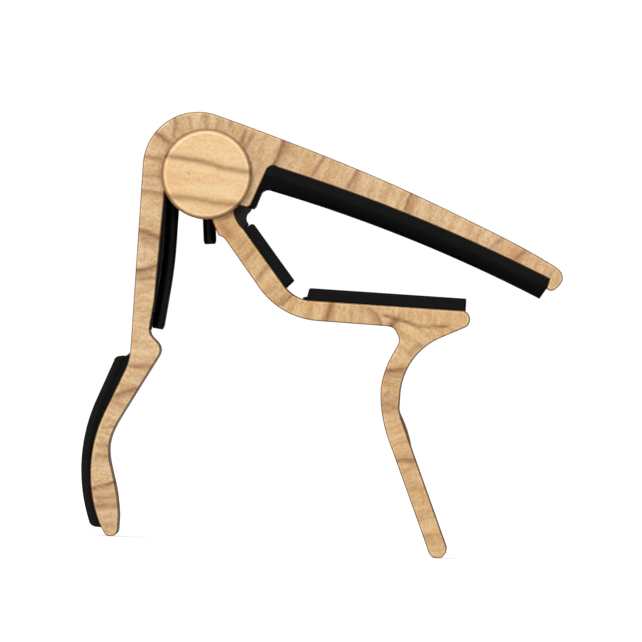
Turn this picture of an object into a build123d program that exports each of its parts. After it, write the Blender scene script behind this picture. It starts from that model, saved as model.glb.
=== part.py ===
"""Trigger capo for a guitar: two bent levers that cross at one sprung hinge.

The string lever carries the curved string pad and the left handle. The neck lever carries the two
pads that rest on the back of a guitar neck and the right handle. A torsion spring around the pivot
holds the jaws shut, and squeezing the two handles together opens them.

Row frame: millimetres, +Z up, +X from the hinge to the jaw tips, +Y through the thickness. The
capo stands on the ends of its two handles and the origin is at the middle of the footprint of its
bounding box. Outlines are drawn on the side plane, whose own origin is the pivot axis.
"""

import os
from math import cos, radians, sin

from build123d import *

os.makedirs("parts", exist_ok=True)

# ---------------------------------------------------------------- driving dimensions
PIVOT_X = -25.675          # pivot axis from the origin
PIVOT_Z = 73.6             # pivot axis above the surface that the handles stand on
HALF_WIDTH = 9.0           # string lever, to each side of the middle plane
NECK_HALF_WIDTH = 8.9      # neck lever, so that it runs clear of the caps

EAR_RADIUS = 8.7           # lower edge of the string lever's ears, under the caps
EAR_INNER = 6.6            # inner face of each string lever ear
SLOT_RADIUS = 8.9          # hollow between the ears
ROOT_RADIUS = 8.85         # hollow end of the neck lever, just outside the ears

INNER_EAR_RADIUS = 8.2     # neck lever's two ears, inside the hollow
INNER_EAR_OUT = 6.05
INNER_EAR_IN = 3.95
WEB_START = 3.0            # web from each inner ear to the neck lever's root
WEB_OVERLAP = 0.3          # how far the web runs into the root

PIN_RADIUS = 2.5
RUNNING_GAP = 0.05         # neck lever, washers and bush turn on the pin
HEAD_RADIUS = 4.5
HEAD_THICKNESS = 1.2
SCREW_RADIUS = 1.5
SCREW_END = -1.0           # how far the screw reaches into the barrel
WASHER_RADIUS = 5.6
WASHER_THICKNESS = 0.5
BUSH_RADIUS = 4.85
BUSH_HALF_LENGTH = 3.85
HEX_SOCKET = 2.5           # across flats, in both heads
HEX_DEPTH = 0.8

CAP_RADIUS = 9.06
CAP_THICKNESS = 1.6
CAP_ROUND = 0.6
DISC_RADIUS = 7.4          # adhesive disc behind each cap
DISC_THICKNESS = 0.3
DISC_GAP = 0.1

WIRE_RADIUS = 1.3
COIL_RADIUS = 6.4          # to the middle of the wire
COIL_PITCH = 2.72
COIL_TURN = 624            # degrees from the short leg round to the long leg
STUB_ANGLE = -84           # direction of the short leg from the pivot
STUB_END = 14.0            # end of the short leg from the pivot
CHANNEL_WIDTH = 4.9        # seat of the short leg in the neck lever
CHANNEL_LENGTH = 9.0
CHANNEL_DROP = 10.5        # middle of the seat, straight below the pivot
LEG_END_RUN = 8.1          # straight run at the end of the long leg

PAD_HALF_WIDTH = 8.7
STRING_FACE_RADIUS = 304.8  # a 12 inch fingerboard radius
RIB_HALF_WIDTH = 2.5       # moulded rib that keys each pad into its lever
RIB_DEPTH = 1.0
LINER_HALF_WIDTH = 8.6
BUMPER_HALF_WIDTH = 8.3
RIDGE_HALF_WIDTH = 7.5     # low finger ridge on the right handle

side = Plane(origin=(PIVOT_X, 0, PIVOT_Z), x_dir=(1, 0, 0), z_dir=(0, -1, 0))


def polar(radius, angle):
    """A point on the side plane at a distance and direction from the pivot."""
    return (radius * cos(radians(angle)), radius * sin(radians(angle)))


def outline(*points):
    """A closed straight-sided outline on the side plane."""
    with BuildSketch(side) as drawn:
        with BuildLine():
            Polyline(*points, close=True)
        make_face()
    return drawn.sketch


# ---------------------------------------------------------------- keys of the pads
with BuildSketch(side) as string_rib:
    with BuildLine():
        rib_face = ThreePointArc((66.0, -14.8), (42.97, -6.2), (18.0, 1.3))
        rib_left = Line(rib_face @ 1, (18.0, 2.3))
        rib_back = ThreePointArc(rib_left @ 1, (42.97, -5.1), (66.0, -13.8))
        Line(rib_back @ 1, rib_face @ 0)
    make_face()

with BuildSketch(side) as grip_rib:
    with BuildLine():
        key_face = ThreePointArc((-18.1, -66.0), (-19.4, -59.6), (-17.5, -49.6))
        key_top = Line(key_face @ 1, (-16.4, -49.6))
        key_back = ThreePointArc(key_top @ 1, (-18.3, -59.6), (-17.0, -66.0))
        Line(key_back @ 1, key_face @ 0)
    make_face()

rest_rib = outline((26.0, -23.7), (50.0, -23.7), (50.0, -23.85 - RIB_DEPTH), (26.0, -23.85 - RIB_DEPTH))
slope_rib = outline((9.7, -12.2), (15.4, -19.15), (14.6, -19.8), (8.9, -12.85))

# strip let into the inner face of the left handle, just clear of the long spring leg
liner_profile = outline(
    (-7.74, -4.6), (-7.74, -14.0), (-7.88, -19.0), (-8.25, -23.5), (-9.12, -31.8),
    (-9.7, -31.8), (-9.0, -26.0), (-8.6, -16.0), (-8.4, -4.6),
)

# ---------------------------------------------------------------- string lever
with BuildPart() as string_lever:
    with BuildSketch(side):
        with BuildLine():
            crown = ThreePointArc((-12.85, 1.3), (-9.6, 9.1), (1.2, 11.94))
            spine = Spline(
                crown @ 1, (15.2, 7.8), (38.8, -0.1), (53.2, -5.8), (69.9, -13.3),
                tangents=(crown % 1, (0.88, -0.47)),
            )
            tip = Spline(
                spine @ 1, (71.9, -14.6), (72.5, -15.9), (71.7, -17.8), (70.5, -18.7), (69.38, -18.35),
                tangents=(spine % 1, (-0.9, 0.45)),
            )
            pad_stop = Line(tip @ 1, (69.85, -16.35))
            underside = ThreePointArc(pad_stop @ 1, (42.97, -6.09), (14.1, 2.27))
            corner = ThreePointArc(underside @ 1, (12.55, 2.35), (11.85, 1.5))
            nose_face = Line(corner @ 1, (9.3, -5.4))
            nose_tip = ThreePointArc(nose_face @ 1, (8.72, -5.98), (8.0, -6.0))
            nose_end = Line(nose_tip @ 1, polar(EAR_RADIUS, -40.5))
            ear_edge = ThreePointArc(nose_end @ 1, polar(EAR_RADIUS, -95), polar(EAR_RADIUS, -157.7))
            inner_edge = Polyline(ear_edge @ 1, (-8.7, -26.0), (-9.3, -31.4))
            elbow = Spline(
                inner_edge @ 1, (-8.98, -32.8), (-7.4, -34.4), (-6.87, -35.5), (-7.35, -37.4),
                tangents=((0, -1), (-0.47, -0.88)),
            )
            shin = Line(elbow @ 1, (-13.7, -49.3))
            palm_inside = Spline(
                shin @ 1, (-15.8, -56.2), (-14.85, -60.7), (-13.6, -65.2), (-13.0, -69.0), (-12.95, -72.1),
                tangents=(shin % 1, (0, -1)),
            )
            foot = ThreePointArc(palm_inside @ 1, (-14.45, -PIVOT_Z), (-15.8, -72.75))
            foot_rise = Line(foot @ 1, (-16.77, -71.1))
            palm_outside = ThreePointArc(foot_rise @ 1, (-19.26, -59.6), (-17.24, -49.07))
            slant = Line(palm_outside @ 1, (-13.92, -40.9))
            bend = ThreePointArc(slant @ 1, (-13.12, -38.5), (-12.85, -36.0))
            Line(bend @ 1, crown @ 0)
        make_face()
    extrude(amount=HALF_WIDTH, both=True)
    with BuildSketch(side):
        Circle(SLOT_RADIUS)
    extrude(amount=EAR_INNER, both=True, mode=Mode.SUBTRACT)
    with BuildSketch(side):
        Circle(PIN_RADIUS)
    extrude(amount=HALF_WIDTH, both=True, mode=Mode.SUBTRACT)
    for face_side in (-1, 1):
        with BuildSketch(side.offset(face_side * HALF_WIDTH)):
            Circle(HEAD_RADIUS)
        extrude(amount=-face_side * HEAD_THICKNESS, mode=Mode.SUBTRACT)
    extrude(string_rib.sketch, amount=RIB_HALF_WIDTH, both=True, mode=Mode.SUBTRACT)
    extrude(grip_rib.sketch, amount=RIB_HALF_WIDTH, both=True, mode=Mode.SUBTRACT)
    extrude(liner_profile, amount=LINER_HALF_WIDTH, both=True, mode=Mode.SUBTRACT)
string_lever.part.label = "string_lever"
export_step(string_lever.part, "parts/string_lever.step")

# ---------------------------------------------------------------- neck lever
with BuildPart() as neck_lever:
    with BuildSketch(side):
        with BuildLine():
            shoulder = ThreePointArc(polar(ROOT_RADIUS, -48.7), (6.6, -8.8), (8.12, -10.52))
            slope = Line(shoulder @ 1, (16.94, -21.26))
            valley = TangentArc(slope @ 1, (22.4, -23.85), tangent=slope % 1)
            shelf = Line(valley @ 1, (53.2, -23.85))
            shelf_end = ThreePointArc(shelf @ 1, (54.5, -25.4), (53.7, -27.15))
            bracket = Line(shelf_end @ 1, (48.9, -29.55))
            outer_bend = ThreePointArc(bracket @ 1, (43.9, -33.9), (41.55, -41.2))
            outer_shin = Polyline(outer_bend @ 1, (41.55, -44.3), (42.1, -46.3), (52.75, -70.95))
            toe = ThreePointArc(outer_shin @ 1, (51.35, -PIVOT_Z), (49.35, -72.45))
            inner_shin = Line(toe @ 1, (39.85, -50.6))
            inner_bend = TangentArc(inner_shin @ 1, (37.65, -41.2), tangent=inner_shin % 1)
            throat = Spline(
                inner_bend @ 1, (38.15, -37.2), (39.95, -32.6), (40.64, -30.6), (39.7, -28.6), (37.9, -27.95),
                tangents=(inner_bend % 1, (-1, 0)),
            )
            belly = Line(throat @ 1, (24.1, -27.85))
            heel = TangentArc(belly @ 1, (12.1, -22.1), tangent=belly % 1)
            back = Line(heel @ 1, (4.7, -12.9))
            catch = ThreePointArc(back @ 1, (3.9, -12.3), (3.2, -12.1))
            catch_rise = Line(catch @ 1, polar(ROOT_RADIUS, -80.5))
            ThreePointArc(catch_rise @ 1, polar(ROOT_RADIUS, -65), shoulder @ 0)
        make_face()
    extrude(amount=NECK_HALF_WIDTH, both=True)
    # the low ridge that the fingers find on the outer side of the right handle
    with BuildSketch(side):
        with BuildLine():
            ridge = ThreePointArc((41.5, -44.7), (43.05, -47.6), (44.4, -51.4))
            Polyline(ridge @ 1, (42.5, -51.0), (40.5, -45.5), ridge @ 0)
        make_face()
    extrude(amount=RIDGE_HALF_WIDTH, both=True)
    for face_side in (-1, 1):
        with BuildSketch(side.offset(face_side * INNER_EAR_IN)):
            Circle(INNER_EAR_RADIUS)
            with BuildLine():
                web = Line(polar(WEB_START, -30), polar(ROOT_RADIUS + WEB_OVERLAP, -50))
                web_end = Line(web @ 1, polar(ROOT_RADIUS + WEB_OVERLAP, -79))
                Polyline(web_end @ 1, polar(WEB_START, -100), web @ 0)
            make_face()
            Circle(PIN_RADIUS + RUNNING_GAP, mode=Mode.SUBTRACT)
        extrude(amount=face_side * (INNER_EAR_OUT - INNER_EAR_IN))
    # pocket for the coil and channel for its short leg
    with BuildSketch(side):
        Circle(INNER_EAR_RADIUS)
        Circle(PIN_RADIUS, mode=Mode.SUBTRACT)
        with Locations((0, -CHANNEL_DROP)):
            Rectangle(CHANNEL_LENGTH, CHANNEL_WIDTH, rotation=STUB_ANGLE)
    extrude(amount=INNER_EAR_IN, both=True, mode=Mode.SUBTRACT)
    extrude(rest_rib, amount=RIB_HALF_WIDTH, both=True, mode=Mode.SUBTRACT)
    extrude(slope_rib, amount=RIB_HALF_WIDTH, both=True, mode=Mode.SUBTRACT)
neck_lever.part.label = "neck_lever"
export_step(neck_lever.part, "parts/neck_lever.step")

# ---------------------------------------------------------------- pivot
with BuildPart() as pivot_barrel:
    with BuildSketch(side.offset(HALF_WIDTH)):
        Circle(HEAD_RADIUS)
    extrude(amount=-HEAD_THICKNESS)
    with BuildSketch(side):
        Circle(PIN_RADIUS)
    extrude(amount=HALF_WIDTH - HEAD_THICKNESS, both=True)
    with BuildSketch(side.offset(-HALF_WIDTH + HEAD_THICKNESS)):
        Circle(SCREW_RADIUS)
    extrude(amount=HALF_WIDTH - HEAD_THICKNESS - SCREW_END, mode=Mode.SUBTRACT)
    with BuildSketch(side.offset(HALF_WIDTH)):
        RegularPolygon(HEX_SOCKET / 2, 6, major_radius=False)
    extrude(amount=-HEX_DEPTH, mode=Mode.SUBTRACT)
pivot_barrel.part.label = "pivot_barrel"
export_step(pivot_barrel.part, "parts/pivot_barrel.step")

with BuildPart() as pivot_screw:
    with BuildSketch(side.offset(-HALF_WIDTH)):
        Circle(HEAD_RADIUS)
    extrude(amount=HEAD_THICKNESS)
    with BuildSketch(side.offset(-HALF_WIDTH + HEAD_THICKNESS)):
        Circle(SCREW_RADIUS)
    extrude(amount=HALF_WIDTH - HEAD_THICKNESS - SCREW_END)
    with BuildSketch(side.offset(-HALF_WIDTH)):
        RegularPolygon(HEX_SOCKET / 2, 6, major_radius=False)
    extrude(amount=HEX_DEPTH, mode=Mode.SUBTRACT)
pivot_screw.part.label = "pivot_screw"
export_step(pivot_screw.part, "parts/pivot_screw.step")

for end_name, face_side in (("front", 1), ("rear", -1)):
    with BuildPart() as thrust_washer:
        with BuildSketch(side.offset(face_side * EAR_INNER)):
            Circle(WASHER_RADIUS)
            Circle(PIN_RADIUS + RUNNING_GAP, mode=Mode.SUBTRACT)
        extrude(amount=-face_side * WASHER_THICKNESS)
    thrust_washer.part.label = f"{end_name}_thrust_washer"
    export_step(thrust_washer.part, f"parts/{end_name}_thrust_washer.step")

    with BuildPart() as cap:
        with BuildSketch(side.offset(face_side * HALF_WIDTH)):
            Circle(CAP_RADIUS)
        extrude(amount=face_side * CAP_THICKNESS)
        outer_face = cap.faces().sort_by(Axis.Y)[0 if face_side > 0 else -1]
        fillet(outer_face.edges(), CAP_ROUND)
        with BuildSketch(side.offset(face_side * HALF_WIDTH)):
            Circle(DISC_RADIUS + DISC_GAP)
        extrude(amount=face_side * DISC_THICKNESS, mode=Mode.SUBTRACT)
    cap.part.label = f"{end_name}_cap"
    export_step(cap.part, f"parts/{end_name}_cap.step")

    with BuildPart() as adhesive_disc:
        with BuildSketch(side.offset(face_side * HALF_WIDTH)):
            Circle(DISC_RADIUS)
        extrude(amount=face_side * DISC_THICKNESS)
    adhesive_disc.part.label = f"{end_name}_adhesive_disc"
    export_step(adhesive_disc.part, f"parts/{end_name}_adhesive_disc.step")

with BuildPart() as spring_bush:
    with BuildSketch(side):
        Circle(BUSH_RADIUS)
        Circle(PIN_RADIUS + RUNNING_GAP, mode=Mode.SUBTRACT)
    extrude(amount=BUSH_HALF_LENGTH, both=True)
spring_bush.part.label = "spring_bush"
export_step(spring_bush.part, "parts/spring_bush.step")

# ---------------------------------------------------------------- torsion spring
# The coil runs from the short leg at the rear round to the long leg at the front. The long leg
# leaves the coil straight down, along the inner face of the left handle.
coil_height = COIL_PITCH * COIL_TURN / 360
coil_base = Plane(
    origin=(PIVOT_X, coil_height / 2, PIVOT_Z),
    x_dir=(cos(radians(STUB_ANGLE)), 0, sin(radians(STUB_ANGLE))),
    z_dir=(0, -1, 0),
)
# the side plane as the spring sees it, at the front end of the coil
leg_plane = Plane(
    origin=(0, 0, coil_height),
    x_dir=(cos(radians(-STUB_ANGLE)), sin(radians(-STUB_ANGLE)), 0),
    z_dir=(0, 0, 1),
)

with BuildPart() as wound_spring:
    with BuildLine() as coil_line:
        Helix(COIL_PITCH, coil_height, COIL_RADIUS)
    with BuildSketch(Plane(origin=coil_line.line @ 0, z_dir=coil_line.line % 0)):
        Circle(WIRE_RADIUS)
    sweep(path=coil_line.line, is_frenet=True)
    with BuildLine(leg_plane) as long_leg:
        leg_top = Line((-COIL_RADIUS, 0), (-COIL_RADIUS, -14.0))
        leg_bend = TangentArc(leg_top @ 1, (-6.9, -23.5), tangent=leg_top % 1)
        Line(leg_bend @ 1, leg_bend @ 1 + LEG_END_RUN * (leg_bend % 1))
    with BuildSketch(Plane(origin=long_leg.line @ 0, z_dir=long_leg.line % 0)):
        Circle(WIRE_RADIUS)
    sweep(path=long_leg.line)
    with BuildSketch(Plane.YZ.offset(COIL_RADIUS)):
        Circle(WIRE_RADIUS)
    extrude(amount=STUB_END - COIL_RADIUS)
    with Locations(coil_line.line @ 0, coil_line.line @ 1):
        Sphere(WIRE_RADIUS)
torsion_spring = coil_base.location * wound_spring.part
torsion_spring.label = "torsion_spring"
export_step(torsion_spring, "parts/torsion_spring.step")

# ---------------------------------------------------------------- soft pieces
with BuildPart() as spring_leg_liner:
    extrude(liner_profile, amount=LINER_HALF_WIDTH, both=True)
spring_leg_liner.part.label = "spring_leg_liner"
export_step(spring_leg_liner.part, "parts/spring_leg_liner.step")

with BuildPart() as string_pad:
    with BuildSketch(side):
        with BuildLine():
            pad_end = Polyline((69.0, -15.0), (69.85, -16.35), (69.38, -18.35), (68.1, -20.45))
            pad_face = RadiusArc(pad_end @ 1, (13.1, -2.5), -STRING_FACE_RADIUS)
            pad_heel = ThreePointArc(pad_face @ 1, (12.0, -2.45), (11.15, -3.1))
            tail_end = Polyline(pad_heel @ 1, (10.2, -5.9), (9.8, -6.35), (9.2, -6.3), (8.7, -5.6))
            Polyline(tail_end @ 1, (11.2, 2.0), (14.0, 3.2), pad_end @ 0)
        make_face()
    extrude(amount=PAD_HALF_WIDTH, both=True)
    add(string_lever.part, mode=Mode.SUBTRACT)
    extrude(string_rib.sketch, amount=RIB_HALF_WIDTH, both=True)
string_pad.part.label = "string_pad"
export_step(string_pad.part, "parts/string_pad.step")

with BuildPart() as neck_rest_pad:
    rest_profile = outline(
        (20.9, -24.2), (20.9, -23.3), (21.7, -23.1), (22.0, -21.6), (22.3, -21.37),
        (53.3, -21.37), (53.5, -21.6), (53.5, -24.2),
    )
    extrude(rest_profile, amount=PAD_HALF_WIDTH, both=True)
    add(neck_lever.part, mode=Mode.SUBTRACT)
    extrude(rest_rib, amount=RIB_HALF_WIDTH, both=True)
neck_rest_pad.part.label = "neck_rest_pad"
export_step(neck_rest_pad.part, "parts/neck_rest_pad.step")

with BuildPart() as neck_side_pad:
    slope_profile = outline(
        (8.33, -10.26), (9.65, -9.35), (10.0, -9.4), (18.75, -20.0), (18.7, -20.25), (17.4, -21.65),
        (16.7, -21.6), (8.0, -11.0),
    )
    extrude(slope_profile, amount=PAD_HALF_WIDTH, both=True)
    add(neck_lever.part, mode=Mode.SUBTRACT)
    extrude(slope_rib, amount=RIB_HALF_WIDTH, both=True)
neck_side_pad.part.label = "neck_side_pad"
export_step(neck_side_pad.part, "parts/neck_side_pad.step")

with BuildPart() as closing_bumper:
    with BuildSketch(side):
        with BuildLine():
            bumper_top = Polyline(
                polar(9.0, -48), (6.75, -5.78), (8.0, -6.1), (8.35, -6.12), (8.95, -6.07), (9.2, -6.38),
                (9.3, -6.42), (9.0, -6.95),
            )
            notch = ThreePointArc(bumper_top @ 1, (8.36, -8.2), (8.95, -9.42))
            Polyline(notch @ 1, (8.3, -10.2), (7.6, -10.6), (6.0, -8.8), bumper_top @ 0)
        make_face()
    extrude(amount=BUMPER_HALF_WIDTH, both=True)
    add(neck_lever.part, mode=Mode.SUBTRACT)
    add(neck_side_pad.part, mode=Mode.SUBTRACT)
closing_bumper.part.label = "closing_bumper"
export_step(closing_bumper.part, "parts/closing_bumper.step")

with BuildPart() as grip_cushion:
    with BuildSketch(side):
        with BuildLine():
            cushion_lip = ThreePointArc((-12.7, -36.2), (-13.2, -37.0), (-14.1, -37.45))
            cushion_top = Line(cushion_lip @ 1, (-14.9, -37.45))
            cushion_corner = ThreePointArc(cushion_top @ 1, (-15.6, -37.75), (-16.0, -38.5))
            cushion_slant = Line(cushion_corner @ 1, (-18.85, -46.16))
            cushion_back = ThreePointArc(cushion_slant @ 1, (-21.14, -57.9), (-18.9, -70.6))
            cushion_foot = ThreePointArc(cushion_back @ 1, (-18.4, -71.5), (-17.5, -71.9))
            Polyline(
                cushion_foot @ 1, (-16.25, -71.95), (-15.5, -70.0), (-17.5, -59.6), (-15.5, -49.0),
                (-12.4, -38.0), cushion_lip @ 0,
            )
        make_face()
    extrude(amount=PAD_HALF_WIDTH, both=True)
    add(string_lever.part, mode=Mode.SUBTRACT)
    extrude(grip_rib.sketch, amount=RIB_HALF_WIDTH, both=True)
grip_cushion.part.label = "grip_cushion"
export_step(grip_cushion.part, "parts/grip_cushion.step")
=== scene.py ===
"""Looks of a trigger capo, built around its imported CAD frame.

Two printed aluminium levers cross at one sprung hinge under a round cap on each side. The black
silicone pads, the finger cushion, the rubber bumper and the wound spring stand for their CAD
solids, and the pivot's own parts keep their CAD shape with finer finishes.
"""

from math import atan2, cos, pi, radians, sin

import bmesh
import bpy
import numpy as np
from bpy.props import FloatProperty, FloatVectorProperty, IntProperty, PointerProperty
from mathutils import Matrix, Vector, noise


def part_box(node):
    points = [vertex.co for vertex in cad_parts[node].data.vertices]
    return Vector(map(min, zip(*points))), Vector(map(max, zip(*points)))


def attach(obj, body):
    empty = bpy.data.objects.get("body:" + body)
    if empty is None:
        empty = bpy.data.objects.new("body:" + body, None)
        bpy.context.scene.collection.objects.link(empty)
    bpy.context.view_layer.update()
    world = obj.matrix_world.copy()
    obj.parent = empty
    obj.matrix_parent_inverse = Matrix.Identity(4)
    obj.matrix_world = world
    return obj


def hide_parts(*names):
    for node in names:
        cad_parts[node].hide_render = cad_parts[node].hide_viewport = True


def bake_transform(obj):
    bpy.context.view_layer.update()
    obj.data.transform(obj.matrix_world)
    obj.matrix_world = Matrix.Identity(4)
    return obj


bl_info = {
    "name": "Trigger Capo Looks",
    "version": (1, 0, 0),
    "blender": (4, 5, 0),
    "location": "3D View > Sidebar > Capo",
    "description": "Builds the printed levers, caps, pads and spring of a trigger capo",
    "category": "Object",
}

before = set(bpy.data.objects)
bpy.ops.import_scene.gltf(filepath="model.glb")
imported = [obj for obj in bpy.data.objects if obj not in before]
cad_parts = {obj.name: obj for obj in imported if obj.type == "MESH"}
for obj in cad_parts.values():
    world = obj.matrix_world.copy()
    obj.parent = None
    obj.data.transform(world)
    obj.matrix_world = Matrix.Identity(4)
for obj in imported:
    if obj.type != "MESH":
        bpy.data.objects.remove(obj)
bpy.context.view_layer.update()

MM = 0.001
STRING_BODY = "string_lever"
NECK_BODY = "neck_lever"

barrel_low, barrel_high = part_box("pivot_barrel")
PIVOT = Vector(((barrel_low.x + barrel_high.x) / 2, 0, (barrel_low.z + barrel_high.z) / 2))

# ---------------------------------------------------------------- wood figure of the print
# Each dark streak: the points it passes through, in mm from the pivot, half width of its dark
# core, how far it fades out to the left of its direction, and how strong it is.
STRING_LEVER_FIGURE = (
    (((14.9, 7.7), (14.4, 5.5), (13.2, 2.7)), 0.35, 1.5, 1.0),
    (((23.4, 5.0), (22.5, 3.6), (21.0, 1.1)), 0.28, 0.7, 0.65),
    (((30.2, 2.9), (29.5, 1.5), (28.2, -0.9)), 0.25, 1.3, 0.7),
    (((41.1, -1.3), (40.6, -2.7), (40.2, -4.3)), 0.2, 1.3, 0.85),
    (((59.7, -8.9), (58.0, -10.7)), 0.4, 0.9, 0.5),
    (((64.5, -11.1), (62.8, -12.7)), 0.35, 0.9, 0.65),
    (((70.5, -14.6), (70.0, -15.7)), 0.5, 0.6, 0.35),
    (((-11.1, 7.7), (-7.9, 5.8)), 0.4, 0.7, 0.8),
    (((-7.1, 10.7), (-6.9, 9.2), (-7.0, 6.8)), 0.25, 0.5, 0.6),
    (((-4.4, 11.2), (-3.5, 8.9)), 0.2, 0.4, 0.35),
    (((-0.9, 11.7), (-0.5, 9.4)), 0.25, 0.5, 0.45),
    (((1.9, 11.3), (1.5, 9.1)), 0.25, 0.5, 0.45),
    (((4.2, 10.6), (4.6, 8.8)), 0.3, 0.5, 0.45),
    (((7.2, 8.9), (6.6, 6.9)), 0.35, 0.6, 0.7),
    (((8.8, 8.6), (7.5, 5.6)), 0.35, 0.8, 0.6),
    (((-9.4, 2.5), (-13.3, 2.7)), 0.3, 0.6, 0.6),
    (((-9.2, -1.2), (-13.1, -1.1)), 0.25, 0.5, 0.45),
    (((-8.6, -4.6), (-12.7, -4.2)), 0.3, 0.5, 0.6),
    (((-8.8, -13.2), (-10.9, -12.5), (-12.7, -12.2)), 0.35, 1.2, 0.85),
    (((-9.3, -15.5), (-11.7, -13.8)), 0.3, 0.6, 0.45),
    (((-8.7, -18.9), (-10.7, -19.8), (-12.8, -20.2)), 0.35, 1.0, 0.85),
    (((-9.0, -21.4), (-12.7, -22.0)), 0.35, 0.6, 0.55),
    (((-8.6, -39.1), (-12.7, -39.3)), 0.42, 0.5, 0.6),
    (((-11.2, -43.8), (-14.9, -45.2)), 0.35, 1.5, 0.75),
    (((-15.1, -51.8), (-17.3, -51.9)), 0.15, 0.3, 0.6),
    (((-15.7, -55.4), (-18.1, -55.5)), 0.35, 0.6, 0.5),
    (((-15.7, -57.6), (-18.2, -57.8)), 0.35, 1.2, 0.55),
    (((-14.3, -62.8), (-16.3, -63.4), (-18.5, -64.3)), 0.18, 0.6, 0.95),
    (((-14.0, -65.6), (-17.4, -66.2)), 0.25, 0.5, 0.5),
    (((-13.3, -67.5), (-17.4, -67.8)), 0.5, 0.8, 0.55),
    (((-13.4, -71.0), (-16.0, -71.3)), 0.3, 0.5, 0.3),
)
NECK_LEVER_FIGURE = (
    (((4.1, -10.5), (5.6, -12.1)), 0.7, 0.8, 0.4),
    (((7.3, -14.3), (8.6, -13.1)), 0.3, 0.6, 0.3),
    (((8.9, -16.6), (10.4, -14.8)), 0.3, 0.7, 0.5),
    (((11.8, -20.1), (13.3, -17.8)), 0.35, 0.8, 0.6),
    (((14.4, -22.6), (15.9, -20.8)), 0.3, 0.6, 0.3),
    (((16.9, -25.0), (17.7, -24.0), (18.7, -22.9)), 0.25, 1.2, 0.8),
    (((26.8, -24.0), (26.5, -25.3), (25.7, -27.5)), 0.4, 1.0, 0.75),
    (((30.8, -23.6), (30.9, -28.1)), 0.25, 0.6, 0.2),
    (((37.0, -28.3), (36.6, -27.1), (36.1, -26.1), (35.3, -25.3), (34.2, -24.5)), 0.16, 1.6, 0.75),
    (
        ((37.2, -25.8), (39.3, -26.2), (40.6, -26.5), (43.0, -27.2), (44.5, -27.6), (50.1, -27.2)),
        0.16, 0.35, 0.85,
    ),
    (((39.7, -26.6), (38.6, -28.2)), 0.7, 1.3, 0.8),
    (((44.8, -31.3), (42.9, -33.1)), 0.5, 0.9, 0.45),
    (((41.9, -36.3), (40.2, -36.6), (38.5, -36.9)), 0.35, 1.8, 1.0),
    (((39.2, -41.1), (38.4, -41.7)), 0.12, 0.2, 0.6),
    (((41.0, -43.3), (37.8, -43.8)), 1.8, 2.8, 0.42),
    (((41.9, -54.7), (43.5, -54.4), (45.2, -54.4)), 0.35, 0.8, 0.8),
    (((46.0, -59.4), (44.6, -60.1)), 0.4, 0.8, 0.3),
    (((47.5, -64.4), (46.0, -64.9)), 0.3, 0.6, 0.2),
    (((49.8, -68.8), (48.1, -69.3)), 0.3, 0.6, 0.25),
)
CAP_FIGURE = (
    (
        (
            (-9.5, 3.2), (-8.2, 3.1), (-4.8, 2.8), (-1.8, 2.5), (1.1, 2.0), (3.2, 1.4), (5.7, 1.2),
            (9.5, 0.8),
        ),
        0.34, 0.6, 0.62,
    ),
    (
        ((-7.8, -5.0), (-3.6, -5.0), (-0.9, -5.2), (1.7, -5.6), (3.7, -5.8), (7.5, -5.7)),
        0.42, 0.62, 0.56,
    ),
    (((-3.8, 0.0), (-3.3, -0.3)), 0.06, 0.1, 0.4),
    (((-1.5, -1.2), (-1.1, -1.4)), 0.05, 0.1, 0.35),
)

# Middle lines of the arms, in mm from the pivot: the print's grain lies across them
STRING_LEVER_PATH = (
    (-14.4, -76.0), (-16.2, -66.0), (-17.0, -59.0), (-15.6, -50.0), (-10.2, -38.0), (-10.6, -32.0),
    (-10.7, -16.0), (-10.6, 0.0), (-8.4, 6.6), (-3.2, 10.0), (3.0, 9.9), (12.0, 5.6), (26.0, 1.0),
    (43.0, -4.2), (60.0, -10.8), (74.0, -17.5),
)
NECK_SPINE_PATH = (
    (2.0, -6.0), (6.2, -12.0), (14.5, -22.2), (20.5, -25.9), (30.0, -25.9), (58.0, -25.9),
)
NECK_LEG_PATH = (
    (46.0, -24.0), (41.5, -32.0), (39.5, -38.0), (39.8, -46.0), (43.0, -53.5), (52.0, -76.0),
)
# Where the print of the shelf meets the print of the leg: the seam's height along x, and its left
# end as x along the height.
LEG_SEAM = (
    (33.0, -24.2), (35.3, -25.3), (37.2, -25.8), (40.6, -26.5), (44.5, -27.6), (50.1, -27.2),
    (56.0, -27.0),
)
LEG_SEAM_LEFT = (
    (-29.0, 37.2), (-28.3, 37.0), (-27.1, 36.6), (-26.1, 36.1), (-25.3, 35.3), (-24.0, 33.5),
)
# keeps the leg's grain apart from the shelf's
LEG_GRAIN_START = 70

# Back and string face of the string pad, and the back of the finger cushion.
PAD_BACK = ((14.1, 2.27), (42.97, -6.09), (69.85, -16.35))
PAD_FACE = ((13.1, -2.5), (41.03, -10.17), (68.1, -20.45))
CUSHION_BACK = (
    (-15.2, -36.9), (-16.0, -38.5), (-18.85, -46.16), (-20.6, -52.0), (-21.14, -57.9), (-20.7, -64.0),
    (-18.9, -70.6), (-18.2, -73.0),
)

# ---------------------------------------------------------------- sizes, in mm unless they say otherwise
WELD = 0.002
LEVEL = 0.01
BORE_RADIUS = 5.2
PRINT_CREASE = 38  # degrees, as are the other two
PAD_CREASE = 40
WIRE_CREASE = 50

CAP_SIDES = 180
CAP_RIM = 1.1
CAP_RING_STEP = 0.4
CAP_CHAMFER = 0.12
CAP_RECESS_RADIUS = 7.5
CAP_RECESS_DEPTH = 0.3
CAP_HUB_RADIUS = 0.5
CAP_GRAIN_TILT = radians(-6)

PAD_OVERLAP = 0.06
PAD_LIFT_DEPTH = 2
BUMPER_EDGE = 0.08

COIL_DEGREES = 624
COIL_PITCH = 2.72
COIL_POINTS = 220
STUB_ANGLE = radians(-84)
STUB_REACH = 14.0
STUB_BEND = 1.7
LEG_STRAIGHT = 14.0
LEG_BOW = (0.5, 9.5)
LEG_END = 8.1
WIRE_SPACING = 0.35


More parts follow.
